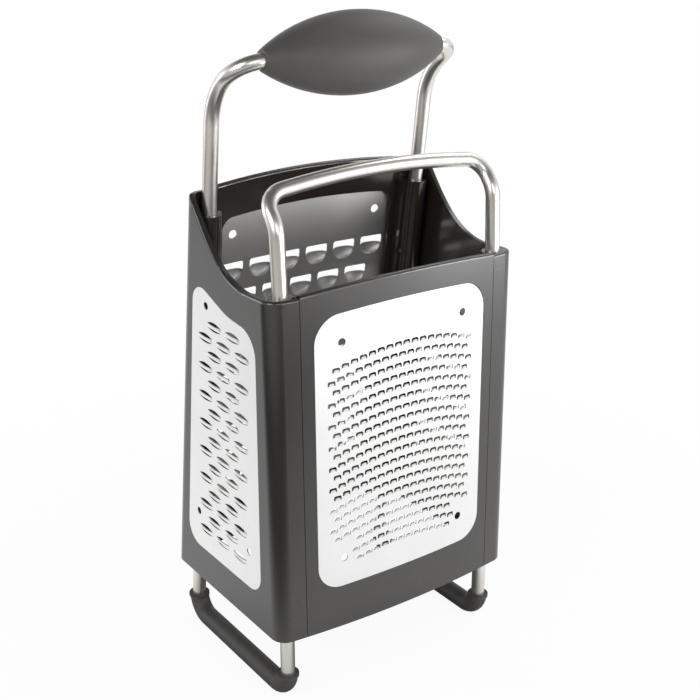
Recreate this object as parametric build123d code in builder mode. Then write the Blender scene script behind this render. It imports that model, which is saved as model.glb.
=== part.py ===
"""Box grater: four blades in a bowed plastic box, carried by bent steel rods.

Units are millimetres. X runs across the front, Y from the front to the rear
and Z upwards. Z is zero at the floor, and the box is centred on X and Y.
"""
import os
from math import cos, radians, sin, sqrt

from build123d import *

# Box: bottom edge, walls and how they bow and lean
body_bottom = 38.2
shell_height = 212.0
shell_top = body_bottom + shell_height
body_half_width = 70.4
front_corner_y = -50.25
rear_corner_y = 51.55
front_slope_share = 0.0173
rear_slope_share = -0.1369
front_bow = 4.8
rear_bow = 3.5
corner_radius = 7.6
wall = 3.0

# Each bowed wall as its corner line, slope, bow and the way to the inside
front_wall = (front_corner_y, front_slope_share, front_bow, 1)
rear_wall = (rear_corner_y, rear_slope_share, rear_bow, -1)

# Rim of the box: low and nearly level in front, swept up to the rear corner
front_rim_drop = 41.8
front_rim = shell_top - front_rim_drop
rim_dip_inset = 22.25
rim_dip_y = front_corner_y + rim_dip_inset
rim_dip_drop = 1.5
rim_dip = front_rim - rim_dip_drop
rim_sweep_radius = 40.5
rim_sweep_turn = 42.0
rim_rise_radius = 100.0
rim_rise_turn = 10.0
corner_peak_drop = 8.7
corner_peak = shell_top - corner_peak_drop
crown_rise = 2.5
crown_height = front_rim + crown_rise
crown_radius = 650.0
rear_arch_rise = 3.8
arch_height = corner_peak + rear_arch_rise
arch_radius = 560.0
rim_rounding = 1.3
rounded_rim_inset = 8.4
rounded_rim_x = body_half_width - rounded_rim_inset
rim_probe_share = 0.5

# Seams between the side frames and the two panels
front_seam_inset = 14.6
front_seam_x = body_half_width - front_seam_inset
rear_seam_inset = 17.1
rear_seam_x = body_half_width - rear_seam_inset
seam_gap = 0.3
tongue_reach = 2.4
tongue_depth = 1.6
tongue_thickness = 1.2
groove_clearance = 0.3
groove_floor = 3.0
panel_rest_gap = 0.1
front_tongue_drop = 2.9
front_tongue_top = front_rim - front_tongue_drop

# Posts in the four corners, which hold the ends of the rods
post_radius = 5.9
front_post_inset = 9.4
front_post_x = body_half_width - front_post_inset
rear_post_inset = 9.8
rear_post_x = body_half_width - rear_post_inset
front_post_depth = 7.55
front_post_y = front_corner_y + front_post_depth
rear_post_depth = 8.78
rear_post_y = rear_corner_y - rear_post_depth
rear_post_slope_share = -0.1267
rear_post_drop = 10.7
rear_post_top = corner_peak - rear_post_drop
rear_tongue_drop = 2.5
rear_tongue_top = rear_post_top - rear_tongue_drop
web_reach = 20.0

# Cross pins that hold the rod ends in the posts
pin_radius = 1.2
pin_inner_inset = 14.8
pin_inner_x = body_half_width - pin_inner_inset
pin_outer_inset = 4.4
pin_outer_x = body_half_width - pin_outer_inset
pin_cover = 6.0

# Bent steel rods: the front arch, whose legs bend to the rear below its bar
rod_radius = 3.5
arch_socket_depth = 38.4
arch_foot = front_rim - arch_socket_depth
arch_pin = arch_foot + pin_cover
arch_foot_offset = 1.0
arch_foot_y = front_post_y - arch_foot_offset
arch_slope_share = 0.05
arch_leg_length = 29.1
arch_bend_height = front_rim + arch_leg_length
arch_bend_y = arch_foot_y + (arch_bend_height - arch_foot) * arch_slope_share
arch_bar_reach = 10.1
arch_bar_y = arch_bend_y + arch_bar_reach
arch_bar_rise = 12.4
arch_shoulder = arch_bend_height + arch_bar_rise
arch_peak_rise = 7.5
arch_peak = arch_shoulder + arch_peak_rise
arch_leg_bend = 14.5
arch_corner_bend = 10.3
arch_bar_half = sqrt(front_post_x ** 2 + arch_peak_rise ** 2)
arch_bend_spare = 0.5
arch_bend_room = arch_corner_bend + arch_bend_spare
arch_bar_radius = (arch_bar_half - arch_bend_room) * front_post_x / arch_peak_rise

# The handle rod, whose bar lies forward of its legs
handle_socket_depth = 44.0
handle_foot = rear_post_top - handle_socket_depth
handle_pin = handle_foot + pin_cover
handle_leg_length = 55.9
handle_bend_height = rear_post_top + handle_leg_length
handle_bend_y = rear_post_y + (handle_bend_height - body_bottom) * rear_post_slope_share
handle_bar_reach = 22.385
handle_bar_y = handle_bend_y - handle_bar_reach
handle_bar_rise = 16.1
handle_bar = handle_bend_height + handle_bar_rise
handle_leg_bend = 31.4
handle_bar_bend = 13.5

# The foot rods
foot_socket_depth = 37.8
foot_socket_top = body_bottom + foot_socket_depth
foot_pin = foot_socket_top - pin_cover
foot_front_offset = 0.25
foot_front_y = front_post_y + foot_front_offset
foot_bend = 10.0
foot_bar = 4.7

# Rubber sleeves over the foot rods
sleeve_radius = 4.95
sleeve_top = 15.0
sleeve_lip = 0.5
sleeve_lip_height = 1.6

# Grip on the handle bar: a stiff core inside a soft cover
grip_end_room = 12.4
grip_half_length = rear_post_x - grip_end_room
grip_radius = 18.7
grip_end_radius = 4.9
core_end_cover = 7.2
core_half_length = grip_half_length - core_end_cover
core_radius = 15.5
core_end_radius = 4.5

# Blades: sheet, the rebate they lie in and their locating holes
sheet = 0.6
ledge = 3.0
rear_ledge = 1.2
blade_top_radius = 500.0
hood_root = 0.15

# Fine blade in the front panel
fine_side_border = 6.8
fine_half_width = front_seam_x - fine_side_border
fine_low_border = 22.1
fine_bottom = body_bottom + fine_low_border
fine_high_border = 9.7
fine_top = front_rim - fine_high_border
fine_corner = 12.5
fine_hole_inset = 14.0
fine_hole_x = fine_half_width - fine_hole_inset
fine_hole_margin = 14.9
fine_upper_hole = fine_top - fine_hole_margin
fine_lower_hole = fine_bottom + fine_hole_margin
fine_hole_radius = 2.0
fine_row_count = 20
fine_first_row_drop = 23.2
fine_first_row = fine_top - fine_first_row_drop
fine_last_row_rise = 14.5
fine_last_row = fine_bottom + fine_last_row_rise
fine_row_pitch = (fine_first_row - fine_last_row) / (fine_row_count - 1)
fine_tooth_count = 17
fine_row_inset = 10.2
fine_row_length = (fine_half_width - fine_row_inset) * 2
fine_tooth_pitch = fine_row_length / (fine_tooth_count - 1)
fine_centre_x = 0.65
fine_row_arc = 133.0
fine_tooth_gap = 1.15
fine_slot_width = fine_tooth_pitch - fine_tooth_gap
fine_slot_height = 1.9
fine_hole_clearance = 5.0
fine_low_row_half = fine_hole_x - fine_hole_clearance
fine_low_rows = 3

# Side blades: the slanted outline that both of them share
side_low_border = 18.9
side_blade_bottom = body_bottom + side_low_border
side_front_border = 15.55
side_blade_front_y = front_corner_y + side_front_border
side_rear_border = 15.65
side_blade_rear_y = rear_corner_y - side_rear_border
side_peak_inset = 32.95
side_blade_peak_y = rear_corner_y - side_peak_inset
side_peak_drop = 5.8
side_blade_peak = front_rim - side_peak_drop
side_dip_inset = 38.85
side_blade_dip_y = front_corner_y + side_dip_inset
side_dip_drop = 16.8
side_blade_dip = front_rim - side_dip_drop
side_shoulder_inset = 14.65
side_blade_shoulder_y = front_corner_y + side_shoulder_inset
side_shoulder_drop = 18.9
side_blade_shoulder = front_rim - side_shoulder_drop
side_blade_low_corner = 10.0
side_blade_peak_corner = 9.0
side_blade_dip_corner = 40.0
side_blade_shoulder_corner = 13.0

# Locating holes of the side blades, from the peak and from the bottom corners
side_hole_radius = 1.9
peak_hole_inset = 11.2
peak_hole_drop = 11.3
rear_hole_inset = 12.5
rear_hole_rise = 20.4
front_hole_inset = 9.8
front_hole_rise = 19.7
side_hole_places = (
    (side_blade_peak_y - peak_hole_inset, side_blade_peak - peak_hole_drop),
    (side_blade_rear_y - rear_hole_inset, side_blade_bottom + rear_hole_rise),
    (side_blade_front_y + front_hole_inset, side_blade_bottom + front_hole_rise),
)

# Ribbon teeth on the left blade: a slit over a raised hood
ribbon_row_count = 16
ribbon_first_row_drop = 8.1
ribbon_first_row = side_blade_dip - ribbon_first_row_drop
ribbon_last_row_rise = 13.45
ribbon_last_row = side_blade_bottom + ribbon_last_row_rise
ribbon_row_pitch = (ribbon_first_row - ribbon_last_row) / (ribbon_row_count - 1)
ribbon_middle_inset = 27.1
ribbon_middle_y = side_blade_front_y + ribbon_middle_inset
ribbon_drift_share = 0.069
ribbon_spacing = 16.4
ribbon_width = 12.5
ribbon_slit = 1.7
ribbon_hood_drop = 2.9
ribbon_hood_rise = 1.1
hood_foot_width = 9.0
hood_foot_rise = 0.08

# Slicing slots on the right blade
slicer_row_count = 5
slicer_first_row_drop = 19.6
slicer_first_row = side_blade_dip - slicer_first_row_drop
slicer_last_row_rise = 31.9
slicer_last_row = side_blade_bottom + slicer_last_row_rise
slicer_row_pitch = (slicer_first_row - slicer_last_row) / (slicer_row_count - 1)
slicer_middle_inset = 29.2
slicer_middle_y = side_blade_front_y + slicer_middle_inset
slicer_drift_share = 0.06
slicer_width = 52.0
slicer_slot = 4.2
slicer_lip_drop = 7.0
slicer_lip_rise = 1.1
slicer_foot_width = 47.0
side_backing_margin = 7.5
side_backing_bottom = slicer_first_row + side_backing_margin

# Coarse blade in the rear panel
coarse_side_border = 2.0
coarse_half_width = rear_seam_x - coarse_side_border
coarse_low_border = 20.8
coarse_bottom = body_bottom + coarse_low_border
coarse_high_border = 16.4
coarse_top = arch_height - coarse_high_border
coarse_corner = 8.0
coarse_hole_inset = 8.9
coarse_hole_x = coarse_half_width - coarse_hole_inset
coarse_hole_drop = 13.2
coarse_upper_hole = coarse_top - coarse_hole_drop
coarse_hole_radius = 2.2
coarse_row_count = 9
coarse_first_row_drop = 28.1
coarse_first_top = coarse_top - coarse_first_row_drop
coarse_last_row_rise = 18.6
coarse_last_top = coarse_bottom + coarse_last_row_rise
coarse_row_pitch = (coarse_first_top - coarse_last_top) / (coarse_row_count - 1)
coarse_long_row = 6
coarse_row_inset = 9.3
coarse_row_length = (coarse_half_width - coarse_row_inset) * 2
coarse_pitch = coarse_row_length / (coarse_long_row - 1)
coarse_bridge = 3.9
coarse_opening_width = coarse_pitch - coarse_bridge
coarse_opening_height = 4.6
coarse_opening_corner = 1.6
coarse_cup_drop = 6.0
coarse_cup_rise = 2.4
coarse_cup_foot_width = 5.0
coarse_cup_foot_rise = 0.12

# Every cut runs past the surface by this much
overrun = 6.0


def bow_depth(x, bow):
    """How far a bowed wall falls back at x from its middle."""
    radius = (body_half_width ** 2 + bow ** 2) / (bow + bow)
    return radius - sqrt(radius ** 2 - x ** 2)


def layer_place(bowed_wall, x, depth):
    """How far a layer lies behind the wall's corner line, square to the wall."""
    corner_y, slope_share, bow, inward = bowed_wall
    return inward * (bow_depth(x, bow) - bow + depth)


def lean_length(bowed_wall):
    """Length along a leaning wall for each unit of height."""
    corner_y, slope_share, bow, inward = bowed_wall
    return sqrt(1 + slope_share ** 2)


def surface_y(bowed_wall, x, height, depth):
    """Y of a layer of a bowed wall, at a depth below its outer face."""
    corner_y, slope_share, bow, inward = bowed_wall
    corner_line = corner_y + (height - body_bottom) * slope_share
    return corner_line + layer_place(bowed_wall, x, depth) * lean_length(bowed_wall)


def facing_plane(bowed_wall):
    """Plane along a leaning wall, with its Y measured up the wall from the floor."""
    corner_y, slope_share, bow, inward = bowed_wall
    floor_y = corner_y - body_bottom * slope_share
    return Plane(origin=(0, floor_y, 0), x_dir=(1, 0, 0), z_dir=(0, -1, slope_share))


def level_slab(bottom, top):
    """A wide slab between two heights."""
    with BuildSketch(Plane.XY.offset(bottom)) as slab:
        Rectangle(body_half_width * 4, body_half_width * 4)
    return extrude(slab.sketch.face(), amount=top - bottom, mode=Mode.PRIVATE)


def wall_strip(bowed_wall, half_width, outer_depth, inner_depth, bottom, top):
    """A layer of a bowed wall between two depths, as a leaning solid."""
    corner_y, slope_share, bow, inward = bowed_wall
    outer_edge = layer_place(bowed_wall, half_width, outer_depth)
    outer_middle = layer_place(bowed_wall, 0, outer_depth)
    inner_edge = layer_place(bowed_wall, half_width, inner_depth)
    inner_middle = layer_place(bowed_wall, 0, inner_depth)
    base = Plane(
        origin=(0, corner_y, body_bottom),
        x_dir=(1, 0, 0),
        z_dir=(0, slope_share, 1),
    )
    with BuildSketch(base) as strip:
        with BuildLine():
            ThreePointArc((-half_width, outer_edge), (0, outer_middle), (half_width, outer_edge))
            Line((half_width, outer_edge), (half_width, inner_edge))
            ThreePointArc((half_width, inner_edge), (0, inner_middle), (-half_width, inner_edge))
            Line((-half_width, inner_edge), (-half_width, outer_edge))
        make_face()
    long_strip = extrude(
        strip.sketch.face(), amount=shell_height + shell_height, both=True, mode=Mode.PRIVATE
    )
    return long_strip & level_slab(bottom, top)


def box_solid(inset, bottom, top):
    """The box as a full solid with its walls moved in by the inset."""
    half = body_half_width - inset
    reach = body_half_width * 3
    front_half = wall_strip(front_wall, half, inset, reach, bottom, top)
    rear_half = wall_strip(rear_wall, half, inset, reach, bottom, top)
    block = front_half & rear_half
    corners = block.edges().filter_by(lambda edge: abs((edge % 0).Z) > sqrt(1 / 2))
    return fillet(corners, radius=corner_radius - inset)


def rear_post_at(height):
    """Y of the rear posts' axis at a height."""
    return rear_post_y + (height - body_bottom) * rear_post_slope_share


def arch_leg_at(height):
    """Y of the front arch's legs at a height."""
    return arch_foot_y + (height - arch_foot) * arch_slope_share


def panel_outline(bowed_wall, half_width, bottom, top, top_radius, corner):
    """An outline on a leaning wall, with a gently crowned top edge."""
    drop = top_radius - sqrt(top_radius ** 2 - half_width ** 2)
    stretch = lean_length(bowed_wall)
    low = bottom * stretch
    high = top * stretch
    with BuildSketch(facing_plane(bowed_wall)) as outline:
        with BuildLine():
            Line((-half_width, low), (half_width, low))
            Line((half_width, low), (half_width, high - drop))
            ThreePointArc((half_width, high - drop), (0, high), (-half_width, high - drop))
            Line((-half_width, high - drop), (-half_width, low))
        make_face()
        if corner > 0:
            fillet(outline.vertices(), radius=corner)
    return outline.sketch.face()


def side_outline(inset):
    """The side blades' outline in the Y-Z plane, made smaller by the inset."""
    with BuildSketch(Plane.YZ) as outline:
        with BuildLine():
            Polyline(
                (side_blade_front_y, side_blade_bottom),
                (side_blade_rear_y, side_blade_bottom),
                (side_blade_peak_y, side_blade_peak),
                (side_blade_dip_y, side_blade_dip),
                (side_blade_shoulder_y, side_blade_shoulder),
                close=True,
            )
        make_face()
        # Here X is the depth of the box and Y is its height
        fillet(outline.vertices().sort_by(Axis.Y)[:2], radius=side_blade_low_corner)
        peak = outline.vertices().sort_by_distance((side_blade_peak_y, side_blade_peak))
        fillet(peak[:1], radius=side_blade_peak_corner)
        dip = outline.vertices().sort_by_distance((side_blade_dip_y, side_blade_dip))
        fillet(dip[:1], radius=side_blade_dip_corner)
        shoulder = outline.vertices().sort_by_distance((side_blade_shoulder_y, side_blade_shoulder))
        fillet(shoulder[:1], radius=side_blade_shoulder_corner)
        if inset > 0:
            offset(amount=-inset, mode=Mode.REPLACE)
    return outline.sketch.face()


def through_wall(face):
    """A solid that runs a face well past both sides of its wall."""
    return extrude(face, amount=wall * 4, both=True, mode=Mode.PRIVATE)


def through_x(face, near_x, far_x):
    """A solid that runs a Y-Z face from one x to another."""
    start = Pos(near_x, 0, 0) * face
    return extrude(start, amount=far_x - near_x, dir=(1, 0, 0), mode=Mode.PRIVATE)


def segment_face(plane, width, rise):
    """A flat face between a chord and its arc, on a level plane."""
    with BuildSketch(plane) as segment:
        with BuildLine():
            Line((-width / 2, 0), (width / 2, 0))
            ThreePointArc((width / 2, 0), (0, rise), (-width / 2, 0))
        make_face()
    return segment.sketch.face()


def half_round(width, rise):
    """A flat slot between a chord and its arc, for a sketch's own plane."""
    with BuildSketch(Plane.XY, mode=Mode.PRIVATE) as slot:
        with BuildLine():
            Line((-width / 2, 0), (width / 2, 0))
            ThreePointArc((width / 2, 0), (0, rise), (-width / 2, 0))
        make_face()
    return slot.sketch.face()


def raised_hood(width, foot_width, rise, foot_rise, drop):
    """A raised tooth: an arched lip that runs down to the sheet below it."""
    lip = segment_face(Plane.XY, width, rise)
    foot = segment_face(Plane.XY.offset(-drop), foot_width, foot_rise)
    return loft([foot, lip], ruled=True, mode=Mode.PRIVATE)


# The whole box, hollow and open above and below, before its rim is cut
box_outer = box_solid(0, body_bottom, shell_top)
box_inner = box_solid(wall, body_bottom - overrun, shell_top + overrun)
box_shell = box_outer - box_inner
box_core = box_solid(rim_rounding / 4, body_bottom, shell_top)

# Side view of all that lies above the side frames' rim
with BuildSketch(Plane.YZ) as above_side_rim:
    with BuildLine():
        rim_front = Line((-body_half_width, front_rim), (rim_dip_y, rim_dip))
        rim_sweep = JernArc(
            start=rim_front @ 1,
            tangent=(1, 0),
            radius=rim_sweep_radius,
            arc_size=rim_sweep_turn,
        )
        rim_rise = JernArc(
            start=rim_sweep @ 1,
            tangent=rim_sweep % 1,
            radius=rim_rise_radius,
            arc_size=rim_rise_turn,
        )
        rise_turn = radians(rim_sweep_turn + rim_rise_turn)
        rise_left = corner_peak - (rim_rise @ 1).Y
        peak_y = (rim_rise @ 1).X + rise_left * cos(rise_turn) / sin(rise_turn)
        rim_straight = Line(rim_rise @ 1, (peak_y, corner_peak))
        peak_line = Line((peak_y, corner_peak), (body_half_width, corner_peak))
        far_side = Line(peak_line @ 1, (body_half_width, shell_top + overrun))
        far_top = Line(far_side @ 1, (-body_half_width, shell_top + overrun))
        Line(far_top @ 1, rim_front @ 0)
    make_face()
side_rim_cut = through_x(above_side_rim.sketch.face(), -body_half_width - overrun, 0)

# Corner posts, each joined to the wall beside it by a web
front_post_height = front_rim + overrun - body_bottom
with BuildSketch(Plane.XY.offset(body_bottom)) as front_post_plan:
    with Locations((-front_post_x, front_post_y)):
        Circle(post_radius)
front_web_width = front_post_x + post_radius - front_seam_x
with BuildSketch(Plane.XY.offset(body_bottom)) as front_web_plan:
    with Locations((-front_seam_x, front_post_y)):
        Rectangle(front_web_width, web_reach, align=(Align.MAX, Align.MAX))
front_corner = extrude(front_post_plan.sketch, amount=front_post_height)
front_corner = front_corner + extrude(front_web_plan.sketch, amount=front_post_height)
front_corner = front_corner & box_outer

rear_post_height = rear_post_top + overrun - body_bottom
rear_post_travel = rear_post_height * sqrt(1 + rear_post_slope_share ** 2)
rear_post_direction = (0, rear_post_slope_share, 1)
with BuildSketch(Plane.XY.offset(body_bottom)) as rear_post_plan:
    with Locations((-rear_post_x, rear_post_y)):
        Circle(post_radius)
rear_web_width = rear_post_x + post_radius - rear_seam_x
with BuildSketch(Plane.XY.offset(body_bottom)) as rear_web_plan:
    with Locations((-rear_seam_x, rear_post_y)):
        Rectangle(rear_web_width, web_reach, align=(Align.MAX, Align.MIN))
rear_corner = extrude(rear_post_plan.sketch, amount=rear_post_travel, dir=rear_post_direction)
rear_web = extrude(rear_web_plan.sketch, amount=rear_post_travel, dir=rear_post_direction)
rear_corner = (rear_corner + rear_web) & box_outer & level_slab(body_bottom, rear_post_top)

# Left side frame: wall, two corners, posts, grooves, sockets and window
with BuildPart() as left_side_frame:
    add(box_shell)
    with BuildSketch(Plane.XY.offset(body_bottom - overrun)):
        with BuildLine():
            Polyline(
                (-front_seam_x, -body_half_width),
                (-front_seam_x, 0),
                (-rear_seam_x, 0),
                (-rear_seam_x, body_half_width),
                (-body_half_width - overrun, body_half_width),
                (-body_half_width - overrun, -body_half_width),
                close=True,
            )
        make_face()
    extrude(amount=shell_height + overrun * 3, mode=Mode.INTERSECT)
    add(front_corner)
    add(rear_corner)
    # The rim sweeps up to the rear corner and runs round it to the seam
    add(side_rim_cut, mode=Mode.SUBTRACT)
    # Grooves for the tongues of the two panels
    front_groove = wall_strip(
        front_wall,
        front_seam_x + tongue_reach,
        tongue_depth - groove_clearance,
        tongue_depth + tongue_thickness + groove_clearance,
        body_bottom + groove_floor,
        front_rim + overrun,
    )
    add(front_groove, mode=Mode.SUBTRACT)
    rear_groove = wall_strip(
        rear_wall,
        rear_seam_x + tongue_reach,
        tongue_depth - groove_clearance,
        tongue_depth + tongue_thickness + groove_clearance,
        body_bottom + groove_floor,
        rear_tongue_top + groove_clearance,
    )
    add(rear_groove, mode=Mode.SUBTRACT)
    # Sockets for the arch, the handle and the foot rod
    arch_direction = (0, arch_slope_share, 1)
    with BuildSketch(Plane(origin=(-front_post_x, arch_foot_y, arch_foot), z_dir=arch_direction)):
        Circle(rod_radius)
    extrude(amount=front_rim + overrun * 3 - arch_foot, mode=Mode.SUBTRACT)
    handle_socket_y = rear_post_at(handle_foot)
    with BuildSketch(Plane(origin=(-rear_post_x, handle_socket_y, handle_foot), z_dir=rear_post_direction)):
        Circle(rod_radius)
    extrude(amount=rear_post_top + overrun - handle_foot, mode=Mode.SUBTRACT)
    with BuildSketch(Plane.XY.offset(foot_socket_top)):
        with Locations((-front_post_x, foot_front_y)):
            Circle(rod_radius)
    extrude(amount=-(foot_socket_top - body_bottom + overrun), mode=Mode.SUBTRACT)
    foot_socket_y = rear_post_at(foot_socket_top)
    with BuildSketch(Plane(origin=(-front_post_x, foot_socket_y, foot_socket_top), z_dir=rear_post_direction)):
        Circle(rod_radius)
    extrude(amount=-(foot_socket_top - body_bottom + overrun), mode=Mode.SUBTRACT)
    # Holes for the cross pins
    with BuildSketch(Plane.YZ.offset(-pin_outer_x)):
        with Locations(
            (arch_leg_at(arch_pin), arch_pin),
            (rear_post_at(handle_pin), handle_pin),
            (foot_front_y, foot_pin),
            (rear_post_at(foot_pin), foot_pin),
        ):
            Circle(pin_radius)
    extrude(amount=pin_outer_x - rear_seam_x + overrun, mode=Mode.SUBTRACT)
    # Rebate and window for the side blade
    rebate = through_x(side_outline(0), -body_half_width - overrun, -body_half_width + sheet)
    add(rebate, mode=Mode.SUBTRACT)
    window = through_x(side_outline(ledge), -body_half_width - overrun, -body_half_width + wall + overrun)
    add(window, mode=Mode.SUBTRACT)
    # The rim's outer edge is rounded from corner to corner
    high_edges = left_side_frame.edges().filter_by(lambda edge: (edge @ rim_probe_share).Z > rim_dip - wall)
    rim_edges = high_edges.filter_by(lambda edge: not box_core.is_inside(edge @ rim_probe_share))
    fillet(rim_edges.filter_by(lambda edge: abs((edge @ rim_probe_share).X) > rounded_rim_x), radius=rim_rounding)

# Right side frame: the mirror of the left one, closed behind its blade's upper end
with BuildPart() as right_side_frame:
    mirror(left_side_frame.part, about=Plane.YZ)
    side_backing = through_x(side_outline(0), body_half_width - wall, body_half_width - sheet)
    add(side_backing & level_slab(side_backing_bottom, shell_top))

# Front panel: the bowed wall that lifts out, with a tongue on each side
fine_outline = panel_outline(
    front_wall, fine_half_width, fine_bottom, fine_top, blade_top_radius, fine_corner
)
fine_window = panel_outline(
    front_wall,
    fine_half_width - ledge,
    fine_bottom + ledge,
    fine_top - ledge,
    blade_top_radius,
    fine_corner - ledge,
)
fine_plate = through_wall(fine_outline) & wall_strip(
    front_wall, fine_half_width + ledge, 0, sheet, body_bottom, shell_top
)
front_panel_half = front_seam_x - seam_gap
front_panel_outline = panel_outline(
    front_wall, front_seam_x + overrun, body_bottom - overrun, crown_height, crown_radius, 0
)
with BuildPart() as front_panel:
    add(wall_strip(front_wall, front_panel_half, 0, wall, body_bottom, shell_top))
    add(through_wall(front_panel_outline), mode=Mode.INTERSECT)
    add(
        wall_strip(
            front_wall,
            front_panel_half + tongue_reach,
            tongue_depth,
            tongue_depth + tongue_thickness,
            body_bottom + groove_floor + panel_rest_gap,
            front_tongue_top,
        )
    )
    add(fine_plate, mode=Mode.SUBTRACT)
    add(through_wall(fine_window), mode=Mode.SUBTRACT)
    crown_edges = front_panel.edges().filter_by(lambda edge: edge.length > front_panel_half)
    fillet(crown_edges.filter_by(lambda edge: (edge @ rim_probe_share).Z > front_rim), radius=rim_rounding)

# Rear panel: fixed in the same way, with the high arched rim
coarse_outline = panel_outline(
    rear_wall, coarse_half_width, coarse_bottom, coarse_top, blade_top_radius, coarse_corner
)
coarse_window = panel_outline(
    rear_wall,
    coarse_half_width - rear_ledge,
    coarse_bottom + rear_ledge,
    coarse_top - rear_ledge,
    blade_top_radius,
    coarse_corner - rear_ledge,
)
coarse_plate = through_wall(coarse_outline) & wall_strip(
    rear_wall, rear_seam_x - seam_gap, 0, sheet, body_bottom, shell_top
)
rear_panel_half = rear_seam_x - seam_gap
rear_panel_outline = panel_outline(
    rear_wall, rear_seam_x + overrun, body_bottom - overrun, arch_height, arch_radius, 0
)
with BuildPart() as rear_panel:
    add(wall_strip(rear_wall, rear_panel_half, 0, wall, body_bottom, shell_top))
    add(through_wall(rear_panel_outline), mode=Mode.INTERSECT)
    add(
        wall_strip(
            rear_wall,
            rear_panel_half + tongue_reach,
            tongue_depth,
            tongue_depth + tongue_thickness,
            body_bottom + groove_floor,
            rear_tongue_top,
        )
    )
    add(coarse_plate, mode=Mode.SUBTRACT)
    add(through_wall(coarse_window), mode=Mode.SUBTRACT)
    arch_edges = rear_panel.edges().filter_by(lambda edge: edge.length > rear_panel_half)
    fillet(arch_edges.filter_by(lambda edge: (edge @ rim_probe_share).Z > corner_peak), radius=rim_rounding)

# Fine blade: a bowed sheet with rows of small round-backed openings
fine_places = []
for row in range(fine_row_count):
    row_height = fine_first_row - row * fine_row_pitch
    shift = 0 if row % 2 == 0 else fine_tooth_pitch / 2
    for tooth in range(fine_tooth_count):
        tooth_x = fine_centre_x - shift + (tooth - (fine_tooth_count - 1) / 2) * fine_tooth_pitch
        tooth_z = row_height - (fine_row_arc - sqrt(fine_row_arc ** 2 - tooth_x ** 2))
        near_hole = row >= fine_row_count - fine_low_rows and abs(tooth_x) > fine_low_row_half
        if not near_hole:
            fine_places.append((tooth_x, tooth_z))

fine_slot = half_round(fine_slot_width, fine_slot_height)
with BuildPart() as fine_blade:
    add(fine_plate)
    with BuildSketch(facing_plane(front_wall).offset(-wall * 4)):
        with Locations(
            (-fine_hole_x, fine_upper_hole),
            (fine_hole_x, fine_upper_hole),
            (-fine_hole_x, fine_lower_hole),
            (fine_hole_x, fine_lower_hole),
        ):
            Circle(fine_hole_radius)
        with Locations(*fine_places):
            add(fine_slot)
    extrude(amount=wall * 8, mode=Mode.SUBTRACT)

# Side blades: the same outline, each with its own teeth
ribbon_places = []
for row in range(ribbon_row_count):
    row_height = ribbon_first_row - row * ribbon_row_pitch
    row_middle = ribbon_middle_y + (ribbon_first_row - row_height) * ribbon_drift_share
    row_teeth = 2 if row % 2 == 0 else 3
    for tooth in range(row_teeth):
        tooth_y = row_middle + (tooth - (row_teeth - 1) / 2) * ribbon_spacing
        ribbon_places.append((tooth_y, row_height))

slicer_places = []
for row in range(slicer_row_count):
    row_height = slicer_first_row - row * slicer_row_pitch
    slicer_places.append((slicer_middle_y + row * slicer_row_pitch * slicer_drift_share, row_height))

side_plate = through_x(side_outline(0), -body_half_width, -body_half_width + sheet)
ribbon_slot = half_round(ribbon_width, ribbon_slit)
ribbon_hood = raised_hood(ribbon_width, hood_foot_width, ribbon_hood_rise, hood_foot_rise, ribbon_hood_drop)
ribbon_hoods = []
for tooth_y, tooth_z in ribbon_places:
    hood_place = Pos(-body_half_width + hood_root, tooth_y, tooth_z - hood_root)
    ribbon_hoods.append(hood_place * Rot(0, 0, 90) * ribbon_hood)
with BuildPart() as ribbon_blade:
    add(side_plate)
    with BuildSketch(Plane.YZ.offset(-body_half_width - overrun)):
        with Locations(*side_hole_places):
            Circle(side_hole_radius)
        with Locations(*ribbon_places):
            add(ribbon_slot)
    extrude(amount=overrun + overrun, mode=Mode.SUBTRACT)
    add(ribbon_hoods)

slicer_lip = raised_hood(slicer_width, slicer_foot_width, slicer_lip_rise, hood_foot_rise, slicer_lip_drop)
slicer_lips = []
for tooth_y, tooth_z in slicer_places:
    lip_place = Pos(body_half_width - hood_root, tooth_y, tooth_z - hood_root)
    slicer_lips.append(lip_place * Rot(0, 0, -90) * slicer_lip)
with BuildPart() as slicer_blade:
    mirror(side_plate, about=Plane.YZ)
    with BuildSketch(Plane.YZ.offset(body_half_width + overrun)):
        with Locations(*side_hole_places):
            Circle(side_hole_radius)
        with Locations(*slicer_places):
            Rectangle(slicer_width, slicer_slot, align=(Align.CENTER, Align.MIN))
    extrude(amount=-(overrun + overrun), mode=Mode.SUBTRACT)
    add(slicer_lips)

# Coarse blade: wide openings over cups that stand out to the rear
coarse_places = []
for row in range(coarse_row_count):
    row_top = coarse_first_top - row * coarse_row_pitch
    row_teeth = coarse_long_row if row % 2 == 0 else coarse_long_row - 1
    for tooth in range(row_teeth):
        tooth_x = (tooth - (row_teeth - 1) / 2) * coarse_pitch
        coarse_places.append((tooth_x, row_top * lean_length(rear_wall)))

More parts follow.
